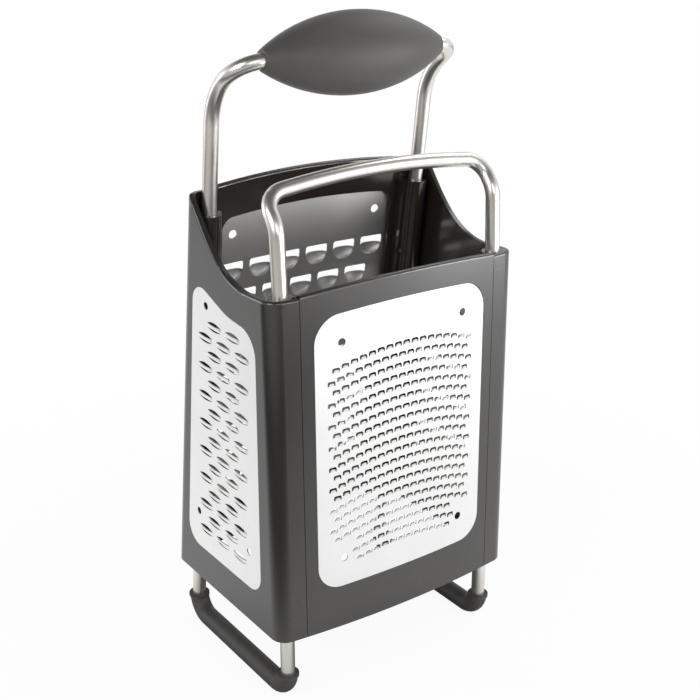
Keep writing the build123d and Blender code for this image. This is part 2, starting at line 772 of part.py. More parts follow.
coarse_cup = raised_hood(
    coarse_opening_width, coarse_cup_foot_width, coarse_cup_rise, coarse_cup_foot_rise, coarse_cup_drop
)
coarse_cups = []
for tooth_x, tooth_top in coarse_places:
    cup_depth = layer_place(rear_wall, tooth_x, hood_root)
    cup_lip = tooth_top - coarse_opening_height - hood_root
    cup_place = facing_plane(rear_wall).location * Pos(tooth_x, cup_lip, -cup_depth)
    coarse_cups.append(cup_place * Rot(-90, 0, 0) * coarse_cup)
with BuildPart() as coarse_blade:
    add(coarse_plate)
    with BuildSketch(facing_plane(rear_wall).offset(-wall * 4)):
        with Locations(
            (-coarse_hole_x, coarse_upper_hole * lean_length(rear_wall)),
            (coarse_hole_x, coarse_upper_hole * lean_length(rear_wall)),
        ):
            Circle(coarse_hole_radius)
        with Locations(*coarse_places):
            with Locations((0, -coarse_opening_height / 2)):
                RectangleRounded(coarse_opening_width, coarse_opening_height, coarse_opening_corner)
    extrude(amount=wall * 8, mode=Mode.SUBTRACT)
    add(coarse_cups)

# Handle rod: up from the rear posts, then forward to the bar over the box
with BuildPart() as rear_handle_rod:
    with BuildLine() as handle_path:
        FilletPolyline(
            (-rear_post_x, rear_post_at(handle_foot), handle_foot),
            (-rear_post_x, rear_post_at(handle_bend_height), handle_bend_height),
            (-rear_post_x, handle_bar_y, handle_bar),
            (rear_post_x, handle_bar_y, handle_bar),
            (rear_post_x, rear_post_at(handle_bend_height), handle_bend_height),
            (rear_post_x, rear_post_at(handle_foot), handle_foot),
            radius=(handle_leg_bend, handle_bar_bend, handle_bar_bend, handle_leg_bend),
        )
    with BuildSketch(Plane(origin=handle_path.line @ 0, z_dir=handle_path.line % 0)):
        Circle(rod_radius)
    sweep(path=handle_path.line)
    with BuildSketch(Plane.YZ.offset(-pin_outer_x)):
        with Locations((rear_post_at(handle_pin), handle_pin)):
            Circle(pin_radius)
    extrude(amount=pin_outer_x + pin_outer_x, mode=Mode.SUBTRACT)

# Front arch rod: up from the front posts, then back to a bowed bar over the rim
with BuildPart() as front_arch_rod:
    with BuildLine() as arch_path:
        FilletPolyline(
            (-front_post_x, arch_foot_y, arch_foot),
            (-front_post_x, arch_bend_y, arch_bend_height),
            (-front_post_x, arch_bar_y, arch_shoulder),
            (0, arch_bar_y, arch_peak),
            (front_post_x, arch_bar_y, arch_shoulder),
            (front_post_x, arch_bend_y, arch_bend_height),
            (front_post_x, arch_foot_y, arch_foot),
            radius=(arch_leg_bend, arch_corner_bend, arch_bar_radius, arch_corner_bend, arch_leg_bend),
        )
    with BuildSketch(Plane(origin=arch_path.line @ 0, z_dir=arch_path.line % 0)):
        Circle(rod_radius)
    sweep(path=arch_path.line)
    with BuildSketch(Plane.YZ.offset(-pin_outer_x)):
        with Locations((arch_leg_at(arch_pin), arch_pin)):
            Circle(pin_radius)
    extrude(amount=pin_outer_x + pin_outer_x, mode=Mode.SUBTRACT)

# Foot rods: a wide U under each side, with both legs up in the posts
with BuildPart() as left_foot_rod:
    with BuildLine() as foot_path:
        FilletPolyline(
            (-front_post_x, foot_front_y, foot_socket_top),
            (-front_post_x, foot_front_y, foot_bar),
            (-front_post_x, rear_post_at(foot_bar), foot_bar),
            (-front_post_x, rear_post_at(foot_socket_top), foot_socket_top),
            radius=foot_bend,
        )
    with BuildSketch(Plane(origin=foot_path.line @ 0, z_dir=foot_path.line % 0)):
        Circle(rod_radius)
    sweep(path=foot_path.line)
    with BuildSketch(Plane.YZ.offset(-pin_outer_x)):
        with Locations((foot_front_y, foot_pin), (rear_post_at(foot_pin), foot_pin)):
            Circle(pin_radius)
    extrude(amount=pin_outer_x, mode=Mode.SUBTRACT)

with BuildPart() as right_foot_rod:
    mirror(left_foot_rod.part, about=Plane.YZ)

# Rubber sleeve on each foot rod, flat underneath where it stands
with BuildPart() as left_foot_sleeve:
    with BuildSketch(Plane(origin=foot_path.line @ 0, z_dir=foot_path.line % 0)):
        Circle(sleeve_radius)
    sweep(path=foot_path.line)
    add(level_slab(0, sleeve_top), mode=Mode.INTERSECT)
    with BuildSketch(Plane.XY.offset(sleeve_top - sleeve_lip_height)):
        with Locations((-front_post_x, foot_front_y)):
            Circle(sleeve_radius + sleeve_lip)
    extrude(amount=sleeve_lip_height)
    rear_lip_base = sleeve_top - sleeve_lip_height
    with BuildSketch(
        Plane(origin=(-front_post_x, rear_post_at(rear_lip_base), rear_lip_base), z_dir=rear_post_direction)
    ):
        Circle(sleeve_radius + sleeve_lip)
    extrude(amount=sleeve_lip_height)
    with BuildSketch(Plane(origin=foot_path.line @ 0, z_dir=foot_path.line % 0)):
        Circle(rod_radius)
    sweep(path=foot_path.line, mode=Mode.SUBTRACT)
    add(level_slab(0, sleeve_top), mode=Mode.INTERSECT)

with BuildPart() as right_foot_sleeve:
    mirror(left_foot_sleeve.part, about=Plane.YZ)

# Grip: a long spindle on the handle bar, a soft cover over a stiff core
bar_plane = Plane(origin=(0, handle_bar_y, handle_bar), x_dir=(1, 0, 0), z_dir=(0, -1, 0))
bar_axis = Axis((0, handle_bar_y, handle_bar), (1, 0, 0))
with BuildPart() as grip_core:
    with BuildSketch(bar_plane):
        with BuildLine():
            Line((-core_half_length, rod_radius), (-core_half_length, core_end_radius))
            ThreePointArc(
                (-core_half_length, core_end_radius), (0, core_radius), (core_half_length, core_end_radius)
            )
            Line((core_half_length, core_end_radius), (core_half_length, rod_radius))
            Line((core_half_length, rod_radius), (-core_half_length, rod_radius))
        make_face()
    revolve(axis=bar_axis)

with BuildPart() as grip_cover:
    with BuildSketch(bar_plane):
        with BuildLine():
            Line((-grip_half_length, rod_radius), (-grip_half_length, grip_end_radius))
            ThreePointArc(
                (-grip_half_length, grip_end_radius), (0, grip_radius), (grip_half_length, grip_end_radius)
            )
            Line((grip_half_length, grip_end_radius), (grip_half_length, rod_radius))
            Line((grip_half_length, rod_radius), (-grip_half_length, rod_radius))
        make_face()
    revolve(axis=bar_axis)
    add(grip_core.part, mode=Mode.SUBTRACT)

# Cross pins: one through each rod end, all eight alike
pin_length = pin_outer_x - pin_inner_x
with BuildPart() as rod_pins:
    for side in (-1, 1):
        with BuildSketch(Plane.YZ.offset(side * pin_inner_x)):
            with Locations(
                (arch_leg_at(arch_pin), arch_pin),
                (rear_post_at(handle_pin), handle_pin),
                (foot_front_y, foot_pin),
                (rear_post_at(foot_pin), foot_pin),
            ):
                Circle(pin_radius)
        extrude(amount=side * pin_length)

os.makedirs("parts", exist_ok=True)
sub_parts = {
    "left_side_frame": left_side_frame,
    "right_side_frame": right_side_frame,
    "front_panel": front_panel,
    "rear_panel": rear_panel,
    "fine_blade": fine_blade,
    "ribbon_blade": ribbon_blade,
    "slicer_blade": slicer_blade,
    "coarse_blade": coarse_blade,
    "rear_handle_rod": rear_handle_rod,
    "front_arch_rod": front_arch_rod,
    "left_foot_rod": left_foot_rod,
    "right_foot_rod": right_foot_rod,
    "left_foot_sleeve": left_foot_sleeve,
    "right_foot_sleeve": right_foot_sleeve,
    "grip_core": grip_core,
    "grip_cover": grip_cover,
    "rod_pins": rod_pins,
}
for name, sub_part in sub_parts.items():
    sub_part.part.label = name
    export_step(sub_part.part, "parts/" + name + ".step")
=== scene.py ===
import math

import bmesh
import bpy
import numpy as np
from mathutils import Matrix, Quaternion, Vector


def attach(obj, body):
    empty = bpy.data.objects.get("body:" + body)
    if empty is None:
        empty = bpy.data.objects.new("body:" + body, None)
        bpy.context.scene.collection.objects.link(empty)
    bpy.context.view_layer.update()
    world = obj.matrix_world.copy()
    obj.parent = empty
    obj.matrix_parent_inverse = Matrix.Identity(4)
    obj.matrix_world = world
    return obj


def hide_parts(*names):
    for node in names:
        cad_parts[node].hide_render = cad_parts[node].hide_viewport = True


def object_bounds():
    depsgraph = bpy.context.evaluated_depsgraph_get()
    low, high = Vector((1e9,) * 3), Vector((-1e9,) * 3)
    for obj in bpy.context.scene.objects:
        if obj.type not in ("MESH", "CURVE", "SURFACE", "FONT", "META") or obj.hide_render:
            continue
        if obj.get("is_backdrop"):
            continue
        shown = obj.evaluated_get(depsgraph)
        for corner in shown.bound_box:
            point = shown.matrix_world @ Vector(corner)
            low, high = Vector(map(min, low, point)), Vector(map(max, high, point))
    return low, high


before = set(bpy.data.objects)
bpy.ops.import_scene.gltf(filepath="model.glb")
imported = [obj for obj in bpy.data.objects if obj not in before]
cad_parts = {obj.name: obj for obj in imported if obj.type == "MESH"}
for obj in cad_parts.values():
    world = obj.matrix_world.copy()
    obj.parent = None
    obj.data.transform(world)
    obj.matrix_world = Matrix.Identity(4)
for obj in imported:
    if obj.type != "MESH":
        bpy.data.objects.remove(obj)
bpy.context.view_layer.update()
scene = bpy.context.scene


# The box: two side frames and two bowed panels of black plastic, injection moulded, with
# a fine satin surface outside and a glossy one inside. The panels sit in grooves of the
# frames, and all four hold a blade. The frames' posts take the ends of the steel rods.
def new_material(name, metallic=0.0):
    """A material with one Principled shader, and the nodes and links to add to it."""
    material = bpy.data.materials.new(name)
    material.use_nodes = True
    nodes = material.node_tree.nodes
    shader = nodes["Principled BSDF"]
    shader.inputs["Metallic"].default_value = metallic
    return material, nodes, material.node_tree.links, shader


def group_with(name, inputs, outputs):
    """A shader node group with named sockets, and its input and output nodes."""
    group = bpy.data.node_groups.new(name, "ShaderNodeTree")
    for label, kind in inputs:
        group.interface.new_socket(name=label, in_out="INPUT", socket_type=kind)
    for label, kind in outputs:
        group.interface.new_socket(name=label, in_out="OUTPUT", socket_type=kind)
    group_in = group.nodes.new("NodeGroupInput")
    group_out = group.nodes.new("NodeGroupOutput")
    return group, group_in, group_out


def noise_texture(nodes, detail, roughness=0.5):
    """A noise texture with its amount of fine detail."""
    noise = nodes.new("ShaderNodeTexNoise")
    noise.inputs["Detail"].default_value = detail
    noise.inputs["Roughness"].default_value = roughness
    return noise


def ranged(nodes, links, source, values, limits=(0.0, 1.0), smooth=False):
    """A value that goes from the first to the second of values over the source's limits."""
    change = nodes.new("ShaderNodeMapRange")
    if smooth:
        change.interpolation_type = "SMOOTHSTEP"
    change.inputs["From Min"].default_value, change.inputs["From Max"].default_value = limits
    change.inputs["To Min"].default_value, change.inputs["To Max"].default_value = values
    links.new(source, change.inputs["Value"])
    return change.outputs["Result"]


def two_tints(nodes, links, source, tints, limits):
    """A colour that goes from one tint to the other over the source's limits."""
    tint = nodes.new("ShaderNodeValToRGB")
    for i in range(2):
        tint.color_ramp.elements[i].position = limits[i]
        tint.color_ramp.elements[i].color = (*tints[i], 1.0)
    links.new(source, tint.inputs["Fac"])
    return tint.outputs["Color"]


def bumped(nodes, links, source, strength, depth):
    """The normal of a surface with the source as its height."""
    bump = nodes.new("ShaderNodeBump")
    bump.inputs["Strength"].default_value = strength
    bump.inputs["Distance"].default_value = depth
    links.new(source, bump.inputs["Height"])
    return bump.outputs["Normal"]


def mixed_where(nodes, links, shader, mask, label, value):
    """Mixes a linked input of the shader towards a plain value where the mask is one."""
    linked = shader.inputs[label].links[0].from_socket
    mix = nodes.new("ShaderNodeMix")
    mix.data_type = "RGBA" if label == "Base Color" else "FLOAT"
    given = {socket.name: socket for socket in mix.inputs if socket.enabled}
    given["B"].default_value = value
    links.new(mask, given["Factor"])
    links.new(linked, given["A"])
    links.new([socket for socket in mix.outputs if socket.enabled][0], shader.inputs[label])


# The moulded texture: fine pits for the bump, and slow patches for colour and gloss
pit_noise_share, pit_noise_detail = 0.6, 3.0
patch_detail, patch_roughness = 4.0, 0.6
moulded, moulded_in, moulded_out = group_with(
    "moulded_texture",
    [
        ("Place", "NodeSocketVector"),
        ("Pit Scale", "NodeSocketFloat"),
        ("Patch Scale", "NodeSocketFloat"),
    ],
    [("Height", "NodeSocketFloat"), ("Patch", "NodeSocketFloat")],
)
pits = moulded.nodes.new("ShaderNodeTexVoronoi")
pits.feature = "SMOOTH_F1"
pit_noise = noise_texture(moulded.nodes, pit_noise_detail)
patch_noise = noise_texture(moulded.nodes, patch_detail, patch_roughness)
pit_mix = moulded.nodes.new("ShaderNodeMath")
pit_mix.operation = "MULTIPLY_ADD"
pit_mix.inputs[1].default_value = pit_noise_share
for texture, scale in ((pits, "Pit Scale"), (pit_noise, "Pit Scale"), (patch_noise, "Patch Scale")):
    moulded.links.new(moulded_in.outputs["Place"], texture.inputs["Vector"])
    moulded.links.new(moulded_in.outputs[scale], texture.inputs["Scale"])
moulded.links.new(pit_noise.outputs["Fac"], pit_mix.inputs[0])
moulded.links.new(pits.outputs["Distance"], pit_mix.inputs[2])
moulded.links.new(pit_mix.outputs["Value"], moulded_out.inputs["Height"])
moulded.links.new(patch_noise.outputs["Fac"], moulded_out.inputs["Patch"])
pit_depth = 0.0002
patch_limits = (0.3, 0.7)


def add_moulded_texture(nodes, links, shader, pit_scale, patch_scale, bump, tints, gloss):
    """Gives a material the moulded texture in its bump, colour and gloss."""
    place = nodes.new("ShaderNodeTexCoord")
    texture = nodes.new("ShaderNodeGroup")
    texture.node_tree = moulded
    texture.inputs["Pit Scale"].default_value = pit_scale
    texture.inputs["Patch Scale"].default_value = patch_scale
    links.new(place.outputs["Object"], texture.inputs["Place"])
    height, patch = texture.outputs["Height"], texture.outputs["Patch"]
    links.new(bumped(nodes, links, height, bump, pit_depth), shader.inputs["Normal"])
    links.new(two_tints(nodes, links, patch, tints, patch_limits), shader.inputs["Base Color"])
    links.new(ranged(nodes, links, patch, gloss), shader.inputs["Roughness"])


def dress(node, material):
    """Gives a CAD node its material."""
    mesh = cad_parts[node].data
    mesh.materials.clear()
    mesh.materials.append(material)


box_tints = ((0.0110, 0.0090, 0.0075), (0.0150, 0.0125, 0.0105))
box_gloss, box_pit_scale, box_patch_scale, box_bump = (0.255, 0.285), 2600.0, 30.0, 0.03
box_inner_tint, box_inner_roughness = (0.019, 0.0145, 0.011, 1.0), 0.15
black_plastic, nodes, links, shader = new_material("black_plastic")
shader.inputs["Specular IOR Level"].default_value = 1.0
add_moulded_texture(
    nodes, links, shader, box_pit_scale, box_patch_scale, box_bump, box_tints, box_gloss
)

# Faces that look towards the middle of the box are the glossy ones
inner_limits = (0.0, -0.02)
place = nodes.new("ShaderNodeTexCoord")
level_place = nodes.new("ShaderNodeVectorMath")
level_place.operation = "MULTIPLY"
level_place.inputs[1].default_value = (1.0, 1.0, 0.0)
facing = nodes.new("ShaderNodeNewGeometry")
outward = nodes.new("ShaderNodeVectorMath")
outward.operation = "DOT_PRODUCT"
links.new(place.outputs["Object"], level_place.inputs[0])
links.new(level_place.outputs["Vector"], outward.inputs[0])
links.new(facing.outputs["True Normal"], outward.inputs[1])
inner = ranged(nodes, links, outward.outputs["Value"], (0.0, 1.0), inner_limits)
mixed_where(nodes, links, shader, inner, "Base Color", box_inner_tint)
mixed_where(nodes, links, shader, inner, "Roughness", box_inner_roughness)
for node in ("left_side_frame", "right_side_frame", "front_panel", "rear_panel"):
    dress(node, black_plastic)


# The rods: the handle, the front arch and the two feet are round stainless steel rod,
# bent cold and polished, with the very fine lengthwise marks that drawing and polishing
# leave on it. Their ends are pushed up or down into the frames' posts.
mark_detail, mark_roughness = 5.0, 0.65
cloud_detail, cloud_scale = 3.0, 60.0
drawn, drawn_in, drawn_out = group_with(
    "drawn_steel_marks",
    [
        ("Place", "NodeSocketVector"),
        ("Stretch", "NodeSocketVector"),
        ("Scale", "NodeSocketFloat"),
    ],
    [("Mark", "NodeSocketFloat"), ("Cloud", "NodeSocketFloat")],
)
stretched = drawn.nodes.new("ShaderNodeVectorMath")
stretched.operation = "MULTIPLY"
mark_noise = noise_texture(drawn.nodes, mark_detail, mark_roughness)
cloud_noise = noise_texture(drawn.nodes, cloud_detail)
cloud_noise.inputs["Scale"].default_value = cloud_scale
drawn.links.new(drawn_in.outputs["Place"], stretched.inputs[0])
drawn.links.new(drawn_in.outputs["Stretch"], stretched.inputs[1])
drawn.links.new(stretched.outputs["Vector"], mark_noise.inputs["Vector"])
drawn.links.new(drawn_in.outputs["Scale"], mark_noise.inputs["Scale"])
drawn.links.new(drawn_in.outputs["Place"], cloud_noise.inputs["Vector"])
drawn.links.new(mark_noise.outputs["Fac"], drawn_out.inputs["Mark"])
drawn.links.new(cloud_noise.outputs["Fac"], drawn_out.inputs["Cloud"])
mark_depth = 0.00005
cloud_limits = (0.25, 0.75)


def steel(name, tints, gloss, stretch, scale, bump):
    """Stainless steel with drawn marks, between a dark and a bright tint."""
    material, nodes, links, shader = new_material(name, metallic=1.0)
    place = nodes.new("ShaderNodeTexCoord")
    marks = nodes.new("ShaderNodeGroup")
    marks.node_tree = drawn
    marks.inputs["Stretch"].default_value = stretch
    marks.inputs["Scale"].default_value = scale
    links.new(place.outputs["Object"], marks.inputs["Place"])
    mark, cloud = marks.outputs["Mark"], marks.outputs["Cloud"]
    links.new(two_tints(nodes, links, cloud, tints, cloud_limits), shader.inputs["Base Color"])
    links.new(ranged(nodes, links, mark, gloss), shader.inputs["Roughness"])
    links.new(bumped(nodes, links, mark, bump, mark_depth), shader.inputs["Normal"])
    return material


rod_tints = ((0.72, 0.69, 0.645), (0.79, 0.765, 0.72))
rod_gloss, rod_mark_stretch, rod_mark_scale, rod_bump = (0.28, 0.34), (1.0, 1.0, 0.12), 900.0, 0.03
rod_steel = steel("rod_steel", rod_tints, rod_gloss, rod_mark_stretch, rod_mark_scale, rod_bump)
for node in ("rear_handle_rod", "front_arch_rod", "left_foot_rod", "right_foot_rod"):
    dress(node, rod_steel)


# The cross pins: eight short dull steel pins, pressed through the posts. They keep the
# rod ends in their sockets.
pin_tints = ((0.5, 0.5, 0.5), (0.6, 0.6, 0.6))
pin_gloss, pin_mark_stretch, pin_mark_scale, pin_bump = (0.3, 0.4), (1.0, 0.1, 1.0), 700.0, 0.2
pin_steel = steel("pin_steel", pin_tints, pin_gloss, pin_mark_stretch, pin_mark_scale, pin_bump)
dress("rod_pins", pin_steel)


# The foot sleeves: black rubber tube pushed over each foot rod, with a rolled lip at
# both ends. The grater stands on their undersides.
sleeve_tints = ((0.043, 0.039, 0.036), (0.060, 0.0545, 0.0505))
sleeve_gloss, sleeve_pit_scale, sleeve_patch_scale, sleeve_bump = (0.5, 0.66), 1500.0, 80.0, 0.3
foot_rubber, nodes, links, shader = new_material("foot_rubber")
shader.inputs["Specular IOR Level"].default_value = 0.4
add_moulded_texture(
    nodes, links, shader, sleeve_pit_scale, sleeve_patch_scale, sleeve_bump,
    sleeve_tints, sleeve_gloss,
)
dress("left_foot_sleeve", foot_rubber)
dress("right_foot_sleeve", foot_rubber)


# The grip: a soft cover moulded round a stiff plastic core on the handle's bar, long and
# pointed at both ends, with a smooth dull surface that takes the light softly.
grip_tints = ((0.056, 0.050, 0.046), (0.066, 0.059, 0.055))
grip_gloss, grip_pit_scale, grip_patch_scale, grip_bump = (0.50, 0.60), 1900.0, 60.0, 0.22
soft_cover, nodes, links, shader = new_material("soft_cover")
shader.inputs["Sheen Weight"].default_value = 0.12
shader.inputs["Sheen Roughness"].default_value = 0.5
add_moulded_texture(
    nodes, links, shader, grip_pit_scale, grip_patch_scale, grip_bump, grip_tints, grip_gloss
)
dress("grip_cover", soft_cover)
dress("grip_core", black_plastic)


# The fine blade: a bowed stainless sheet in the front panel, stamped with staggered
# rows of small tongues that stand out from half-round openings. Each row is a shallow
# arch. Like the other blades it is polished outside and dull inside.
def closed_loops(name, loops):
    """A helper object whose edges are closed loops in the X-Y plane."""
    mesh = bpy.data.meshes.new(name)
    points, edges = [], []
    for loop in loops:
        first = len(points)
        points.extend((x, y, 0.0) for x, y in loop)
        edges.extend((first + i, first + (i + 1) % len(loop)) for i in range(len(loop)))
    mesh.from_pydata(points, edges, [])
    loops_object = bpy.data.objects.new(name, mesh)
    scene.collection.objects.link(loops_object)
    return loops_object


def rounded_loop(corners, radii, step):
    """A closed outline through corners that are rounded to their radii."""
    loop = []
    count = len(corners)
    for i in range(count):
        before, here = Vector(corners[i - 1]), Vector(corners[i])
        after = Vector(corners[(i + 1) % count])
        to_before, to_after = (before - here).normalized(), (after - here).normalized()
        half = to_before.angle(to_after) / 2
        reach = radii[i] / math.tan(half)
        centre = here + (to_before + to_after).normalized() * (radii[i] / math.sin(half))
        start, end = here + to_before * reach - centre, here + to_after * reach - centre
        turn = start.angle_signed(end)
        parts = max(2, int(abs(turn) * radii[i] / step))
        for part in range(parts + 1):
            angle = -turn * part / parts
            x = centre.x + start.x * math.cos(angle) - start.y * math.sin(angle)
            y = centre.y + start.x * math.sin(angle) + start.y * math.cos(angle)
            loop.append((x, y))
    dense = []
    for i, point in enumerate(loop):
        after = Vector(loop[(i + 1) % len(loop)])
        here = Vector(point)
        parts = max(1, int((after - here).length / (step * 2)))
        dense.extend(tuple(here.lerp(after, part / parts)) for part in range(parts))
    return dense


def crowned(loop, middle, radius):
    """Bends the upper part of an outline down towards its sides, as a shallow arch."""
    drops = [radius - math.sqrt(radius**2 - x**2) if y > middle else 0.0 for x, y in loop]
    return [(x, y - drop) for (x, y), drop in zip(loop, drops)]


def round_hole(x, y, radius, parts=20):
    """A round hole as a closed loop."""
    turns = [2 * math.pi * i / parts for i in range(parts)]
    return [(x + radius * math.cos(a), y + radius * math.sin(a)) for a in turns]


def raised_tongue(name, columns, rows, place):
    """A patch of sheet metal: place gives each point from its shares across and up."""
    mesh = bpy.data.meshes.new(name)
    points = []
    for r in range(rows + 1):
        points.extend(place(-1 + 2 * c / columns, r / rows) for c in range(columns + 1))
    faces = []
    for r in range(rows):
        for c in range(columns):
            corner = r * (columns + 1) + c
            faces.append((corner, corner + 1, corner + columns + 2, corner + columns + 1))
    mesh.from_pydata(points, [], faces)
    tongue = bpy.data.objects.new(name, mesh)
    scene.collection.objects.link(tongue)
    return tongue


def stamped_sheet_tree():
    """Geometry Nodes: an outline filled as sheet, with openings and teeth at every place."""
    tree = bpy.data.node_groups.new("stamped_sheet", "GeometryNodeTree")
    sockets = {}
    for label, kind in (
        ("Places", "NodeSocketGeometry"),
        ("Outline", "NodeSocketObject"),
        ("Holes", "NodeSocketObject"),
        ("Opening", "NodeSocketObject"),
        ("Tooth", "NodeSocketObject"),
        ("Finish", "NodeSocketMaterial"),
    ):
        socket = tree.interface.new_socket(name=label, in_out="INPUT", socket_type=kind)
        sockets[label] = socket.identifier
    tree.interface.new_socket(name="Sheet", in_out="OUTPUT", socket_type="NodeSocketGeometry")
    nodes, links = tree.nodes, tree.links
    given = nodes.new("NodeGroupInput")
    made = nodes.new("NodeGroupOutput")
    edges = {}
    for label in ("Outline", "Holes", "Opening"):
        info = nodes.new("GeometryNodeObjectInfo")
        curve = nodes.new("GeometryNodeMeshToCurve")
        links.new(given.outputs[label], info.inputs["Object"])
        links.new(info.outputs["Geometry"], curve.inputs["Mesh"])
        edges[label] = curve.outputs["Curve"]
    stamp = nodes.new("GeometryNodeInstanceOnPoints")
    links.new(given.outputs["Places"], stamp.inputs["Points"])
    links.new(edges["Opening"], stamp.inputs["Instance"])
    stamped = nodes.new("GeometryNodeRealizeInstances")
    links.new(stamp.outputs["Instances"], stamped.inputs["Geometry"])
    all_edges = nodes.new("GeometryNodeJoinGeometry")
    links.new(stamped.outputs["Geometry"], all_edges.inputs["Geometry"])
    links.new(edges["Holes"], all_edges.inputs["Geometry"])
    links.new(edges["Outline"], all_edges.inputs["Geometry"])
    fill = nodes.new("GeometryNodeFillCurve")
    links.new(all_edges.outputs["Geometry"], fill.inputs["Curve"])
    tooth = nodes.new("GeometryNodeObjectInfo")
    links.new(given.outputs["Tooth"], tooth.inputs["Object"])
    marked = nodes.new("GeometryNodeStoreNamedAttribute")
    marked.data_type = "FLOAT"
    marked.domain = "POINT"
    marked.inputs["Name"].default_value = "raised"
    marked.inputs["Value"].default_value = 1.0
    links.new(tooth.outputs["Geometry"], marked.inputs["Geometry"])
    raise_teeth = nodes.new("GeometryNodeInstanceOnPoints")
    links.new(given.outputs["Places"], raise_teeth.inputs["Points"])
    links.new(marked.outputs["Geometry"], raise_teeth.inputs["Instance"])
    whole = nodes.new("GeometryNodeJoinGeometry")
    links.new(raise_teeth.outputs["Instances"], whole.inputs["Geometry"])
    links.new(fill.outputs["Mesh"], whole.inputs["Geometry"])
    realized = nodes.new("GeometryNodeRealizeInstances")
    links.new(whole.outputs["Geometry"], realized.inputs["Geometry"])
    finish = nodes.new("GeometryNodeSetMaterial")
    links.new(realized.outputs["Geometry"], finish.inputs["Geometry"])
    links.new(given.outputs["Finish"], finish.inputs["Material"])
    links.new(finish.outputs["Geometry"], made.inputs["Sheet"])
    return tree, sockets


stamped_sheet, sheet_sockets = stamped_sheet_tree()
longest_sheet_edge, most_splits, least_length = 0.004, 7, 1e-12


def split_long_edges(mesh):
    """Splits the filled sheet's long thin triangles, so that it bends evenly."""
    work = bmesh.new()
    work.from_mesh(mesh)
    bmesh.ops.triangulate(work, faces=work.faces)
    for _ in range(most_splits):
        long_edges = [edge for edge in work.edges if edge.calc_length() > longest_sheet_edge]
        if not long_edges:
            break
        bmesh.ops.subdivide_edges(work, edges=long_edges, cuts=1)
        bmesh.ops.triangulate(work, faces=work.faces)
    work.to_mesh(mesh)
    work.free()


def stamp_blade(name, places, outline, holes, opening, tooth, to_frame):
    """Runs the sheet tree, sets the flat result in its wall and gives it its thickness."""
    points = bpy.data.meshes.new(name + "_places")
    points.from_pydata([(x, y, 0.0) for x, y in places], [], [])
    blade = bpy.data.objects.new(name, points)
    scene.collection.objects.link(blade)
    modifier = blade.modifiers.new("stamped_sheet", "NODES")
    modifier.node_group = stamped_sheet
    modifier[sheet_sockets["Outline"]] = outline
    modifier[sheet_sockets["Holes"]] = holes
    modifier[sheet_sockets["Opening"]] = opening
    modifier[sheet_sockets["Tooth"]] = tooth
    modifier[sheet_sockets["Finish"]] = blade_steel
    evaluated = blade.evaluated_get(bpy.context.evaluated_depsgraph_get())
    flat = bpy.data.meshes.new_from_object(evaluated)
    blade.modifiers.remove(modifier)
    split_long_edges(flat)

    # Flat places of all corners, and which of them belong to raised teeth
    count = len(flat.vertices)
    flat_points = np.zeros(count * 3)
    flat.vertices.foreach_get("co", flat_points)
    flat_points = flat_points.reshape(-1, 3)
    raised = np.zeros(count, dtype=np.float32)
    flat.attributes["raised"].data.foreach_get("value", raised)
    triangles = np.zeros(len(flat.polygons) * 3, dtype=np.int32)
    flat.polygons.foreach_get("vertices", triangles)
    triangles = triangles.reshape(-1, 3)
    sides = flat_points[triangles[:, 1:]] - flat_points[triangles[:, :1]]
    turned = np.cross(sides[:, 0], sides[:, 1])[:, 2] < 0
    triangles[turned] = triangles[turned][:, ::-1]

    # The outer face, and the inner one a sheet's thickness behind it
    outer = to_frame(flat_points)
    away = to_frame(flat_points + np.array([0.0, 0.0, sheet_thickness])) - outer
    away /= np.linalg.norm(away, axis=1)[:, None]
    corner = outer[triangles]
    face_normal = np.cross(corner[:, 1] - corner[:, 0], corner[:, 2] - corner[:, 0])
    tooth_normal = np.zeros_like(outer)
    for part in range(3):
        np.add.at(tooth_normal, triangles[:, part], face_normal)
    tooth_normal /= np.linalg.norm(tooth_normal, axis=1)[:, None] + least_length
    normal = np.where(raised[:, None] > 0.5, tooth_normal, away)
    inner = outer - normal * sheet_thickness

    # A rim closes the sheet along every edge that has one triangle
    edge_list = np.concatenate([triangles[:, ends] for ends in ([0, 1], [1, 2], [2, 0])])
    key = np.sort(edge_list, axis=1)
    _, first, uses = np.unique(key, axis=0, return_index=True, return_counts=True)
    rim = edge_list[first[uses == 1]]
    rim_faces = np.stack([rim[:, 1], rim[:, 0], rim[:, 0] + count, rim[:, 1] + count], axis=1)
    solid_points = np.concatenate([outer, inner])
    faces = triangles.tolist() + (triangles[:, ::-1] + count).tolist() + rim_faces.tolist()
    mesh = bpy.data.meshes.new(name)
    mesh.from_pydata(solid_points.tolist(), [], faces)
    mesh.materials.append(blade_steel)
    mesh.shade_smooth()
    rim_corner = solid_points[rim_faces]
    rim_along, rim_across = rim_corner[:, 1] - rim_corner[:, 0], rim_corner[:, 2] - rim_corner[:, 0]
    rim_normal = np.cross(rim_along, rim_across)
    rim_normal /= np.linalg.norm(rim_normal, axis=1)[:, None] + least_length
    loop_normals = np.concatenate(
        [
            normal[triangles].reshape(-1, 3),
            -normal[triangles[:, ::-1]].reshape(-1, 3),
            np.repeat(rim_normal, 4, 0),
        ]
    )
    mesh.normals_split_custom_set(loop_normals.tolist())
    dull = mesh.attributes.new("dull_side", "FLOAT", "FACE")
    shares = np.repeat([0.0, 1.0, 0.5], [len(triangles), len(triangles), len(rim_faces)])
    dull.data.foreach_set("value", shares.astype(np.float32))
    blade.data = mesh
    for helper in (outline, holes, opening, tooth):
        bpy.data.objects.remove(helper)
    return blade


